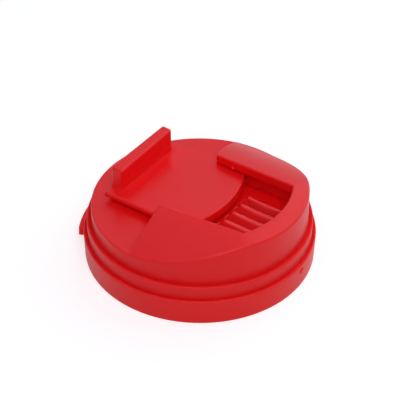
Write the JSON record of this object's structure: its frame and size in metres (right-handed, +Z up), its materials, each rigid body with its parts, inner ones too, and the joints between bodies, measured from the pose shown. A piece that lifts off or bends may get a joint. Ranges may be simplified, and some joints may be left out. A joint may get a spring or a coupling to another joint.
{
  "type": "travel cup lid",
  "caption": "Round press-on drinking lid for a travel cup, with a sloping roof, a thumb slide that covers a barred pour opening, and a lift lug on its skirt.",
  "frame": {"origin": "on the lid's axis, at the lower edge of its skirt", "axes": "+Z up along the lid's axis, +X towards the drinking side, where the slide closes"},
  "size_m": [0.0925, 0.0904, 0.0363],
  "materials": {
    "shell_plastic": "satin moulded plastic",
    "slide_plastic": "satin moulded plastic",
    "liner_plastic": "satin moulded plastic",
    "clear_silicone": "soft matt silicone"
  },
  "bodies": {
    "lid": {"lid_shell": "shell_plastic", "inner_liner": "liner_plastic", "sealing_ring": "clear_silicone"},
    "slide": {"slide_plate": "slide_plastic"}
  },
  "joints": [
    {"name": "slide_travel", "type": "slide", "parent": "lid", "child": "slide", "axis": [1, 0, 0], "range_m": [0, 0.0233]}
  ]
}
